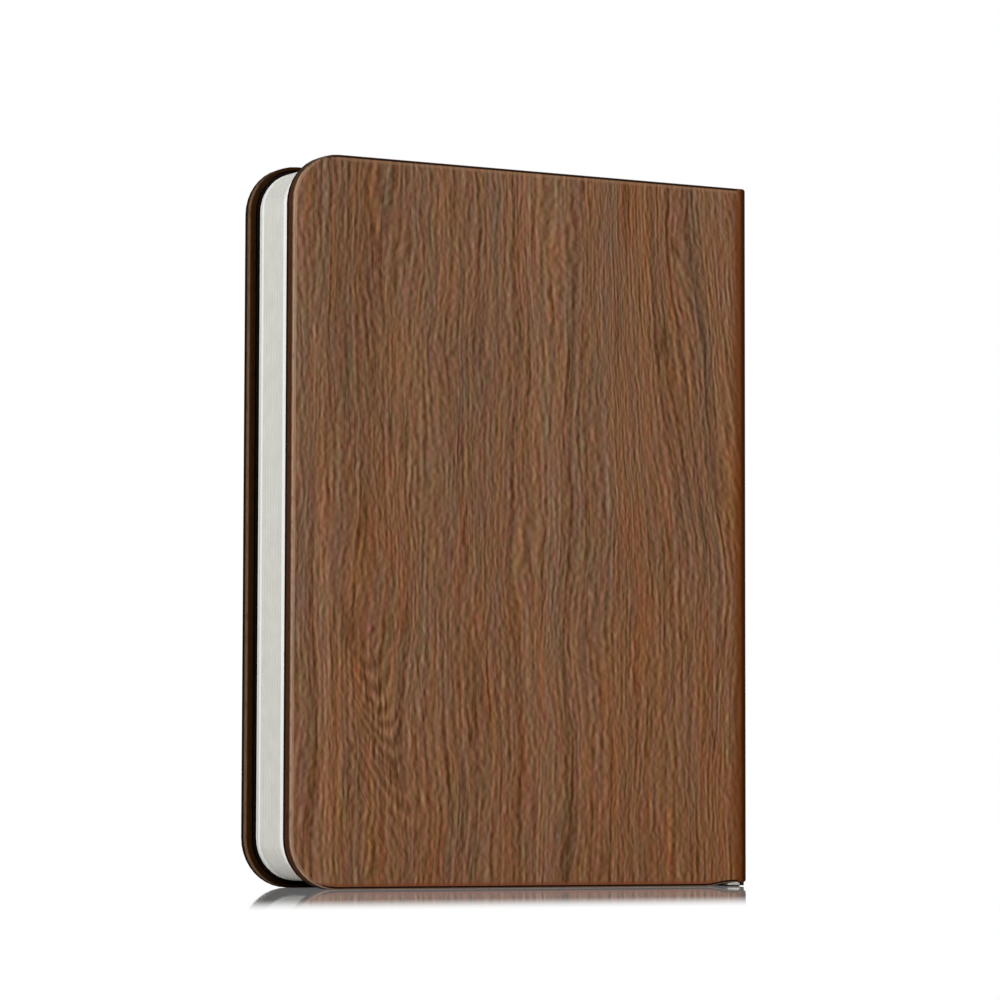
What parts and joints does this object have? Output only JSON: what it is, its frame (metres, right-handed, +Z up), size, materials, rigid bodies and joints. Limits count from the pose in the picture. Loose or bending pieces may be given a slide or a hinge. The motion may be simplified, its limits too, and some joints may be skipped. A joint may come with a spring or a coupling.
{
  "type": "folding book lamp",
  "caption": "Rechargeable lamp shaped like a small closed book: walnut-faced covers swing open about the spine and fan out folded paper pages round a light bar.",
  "frame": {"origin": "under the middle of the closed lamp, on the surface that it stands on", "axes": "+Z up along the spine, +X from the fore edge towards the spine, +Y from the front cover towards the back cover"},
  "size_m": [0.105, 0.023, 0.145],
  "materials": {
    "walnut_veneer": "open-pored walnut veneer, matt",
    "walnut_crease": "creased veneer on cloth backing, satin",
    "grey_board": "plain grey bookbinder's board",
    "liner_paper": "dark smooth paper",
    "page_paper": "translucent fibre paper, matt",
    "housing_plastic": "fine matt moulding",
    "opal_plastic": "opal, satin",
    "lamp_board_white": "white solder mask",
    "circuit_green": "green solder mask",
    "battery_foil": "pouch foil",
    "plated_steel": "nickel plated",
    "clear_pipe": "clear moulding",
    "chip_black": "moulded chip",
    "red_lead": "insulated wire",
    "black_lead": "insulated wire"
  },
  "bodies": {
    "spine": {"spine_skin": "walnut_veneer", "spine_board": "grey_board", "housing_tray": "housing_plastic", "housing_cap_top": "housing_plastic", "housing_cap_bottom": "housing_plastic", "diffuser": "opal_plastic", "lamp_board": "lamp_board_white", "battery_cell": "battery_foil", "control_board": "circuit_green", "charging_socket": "plated_steel", "light_pipe": "clear_pipe", "magnet_sensor": "chip_black", "tray_screw_upper": "plated_steel", "tray_screw_lower": "plated_steel", "cell_lead_plus": "red_lead", "cell_lead_minus": "black_lead", "lamp_lead_plus": "red_lead", "lamp_lead_minus": "black_lead", "middle_pleat": "page_paper"},
    "front_half": {"front_crease": "walnut_crease", "front_pleat_3": "page_paper"},
    "front_cover": {"front_cover_skin": "walnut_veneer", "front_cover_board": "grey_board", "front_cover_liner": "liner_paper", "front_end_page": "page_paper", "front_magnet_upper": "plated_steel", "front_magnet_lower": "plated_steel", "switch_magnet": "plated_steel"},
    "front_pleat_1": {"front_pleat_1": "page_paper"},
    "front_pleat_2": {"front_pleat_2": "page_paper"},
    "front_pleat_4": {"front_pleat_4": "page_paper"},
    "front_pleat_5": {"front_pleat_5": "page_paper"},
    "back_half": {"back_crease": "walnut_crease", "back_pleat_3": "page_paper"},
    "back_cover": {"back_cover_skin": "walnut_veneer", "back_cover_board": "grey_board", "back_cover_liner": "liner_paper", "back_end_page": "page_paper", "back_magnet_upper": "plated_steel", "back_magnet_lower": "plated_steel"},
    "back_pleat_1": {"back_pleat_1": "page_paper"},
    "back_pleat_2": {"back_pleat_2": "page_paper"},
    "back_pleat_4": {"back_pleat_4": "page_paper"},
    "back_pleat_5": {"back_pleat_5": "page_paper"}
  },
  "joints": [
    {"name": "front_half_fold", "type": "hinge", "parent": "spine", "child": "front_half", "pos_m": [0.0515, -0.01048, 0], "axis": [0, 0, 1], "range_deg": [0, 92.6]},
    {"name": "front_cover_swing", "type": "hinge", "parent": "front_half", "child": "front_cover", "pos_m": [0.0515, -0.01048, 0], "axis": [0, 0, 1], "range_deg": [0, 92.6]},
    {"name": "front_pleat_1_turn", "type": "hinge", "parent": "spine", "child": "front_pleat_1", "pos_m": [0.0515, -0.01048, 0], "axis": [0, 0, 1], "range_deg": [0, 31]},
    {"name": "front_pleat_2_turn", "type": "hinge", "parent": "spine", "child": "front_pleat_2", "pos_m": [0.0515, -0.01048, 0], "axis": [0, 0, 1], "range_deg": [0, 62]},
    {"name": "front_pleat_4_turn", "type": "hinge", "parent": "front_half", "child": "front_pleat_4", "pos_m": [0.0515, -0.01048, 0], "axis": [0, 0, 1], "range_deg": [0, 31]},
    {"name": "front_pleat_5_turn", "type": "hinge", "parent": "front_half", "child": "front_pleat_5", "pos_m": [0.0515, -0.01048, 0], "axis": [0, 0, 1], "range_deg": [0, 62]},
    {"name": "back_half_fold", "type": "hinge", "parent": "spine", "child": "back_half", "pos_m": [0.0515, 0.01048, 0], "axis": [0, 0, -1], "range_deg": [0, 92.6]},
    {"name": "back_cover_swing", "type": "hinge", "parent": "back_half", "child": "back_cover", "pos_m": [0.0515, 0.01048, 0], "axis": [0, 0, -1], "range_deg": [0, 92.6]},
    {"name": "back_pleat_1_turn", "type": "hinge", "parent": "spine", "child": "back_pleat_1", "pos_m": [0.0515, 0.01048, 0], "axis": [0, 0, -1], "range_deg": [0, 31]},
    {"name": "back_pleat_2_turn", "type": "hinge", "parent": "spine", "child": "back_pleat_2", "pos_m": [0.0515, 0.01048, 0], "axis": [0, 0, -1], "range_deg": [0, 62]},
    {"name": "back_pleat_4_turn", "type": "hinge", "parent": "back_half", "child": "back_pleat_4", "pos_m": [0.0515, 0.01048, 0], "axis": [0, 0, -1], "range_deg": [0, 31]},
    {"name": "back_pleat_5_turn", "type": "hinge", "parent": "back_half", "child": "back_pleat_5", "pos_m": [0.0515, 0.01048, 0], "axis": [0, 0, -1], "range_deg": [0, 62]}
  ],
  "couplings": [
    {"joint": "front_cover_swing", "follows": "front_half_fold", "ratio": 1},
    {"joint": "front_pleat_1_turn", "follows": "front_half_fold", "ratio": 0.33333},
    {"joint": "front_pleat_2_turn", "follows": "front_half_fold", "ratio": 0.66667},
    {"joint": "front_pleat_4_turn", "follows": "front_half_fold", "ratio": 0.33333},
    {"joint": "front_pleat_5_turn", "follows": "front_half_fold", "ratio": 0.66667},
    {"joint": "back_cover_swing", "follows": "back_half_fold", "ratio": 1},
    {"joint": "back_pleat_1_turn", "follows": "back_half_fold", "ratio": 0.33333},
    {"joint": "back_pleat_2_turn", "follows": "back_half_fold", "ratio": 0.66667},
    {"joint": "back_pleat_4_turn", "follows": "back_half_fold", "ratio": 0.33333},
    {"joint": "back_pleat_5_turn", "follows": "back_half_fold", "ratio": 0.66667}
  ]
}
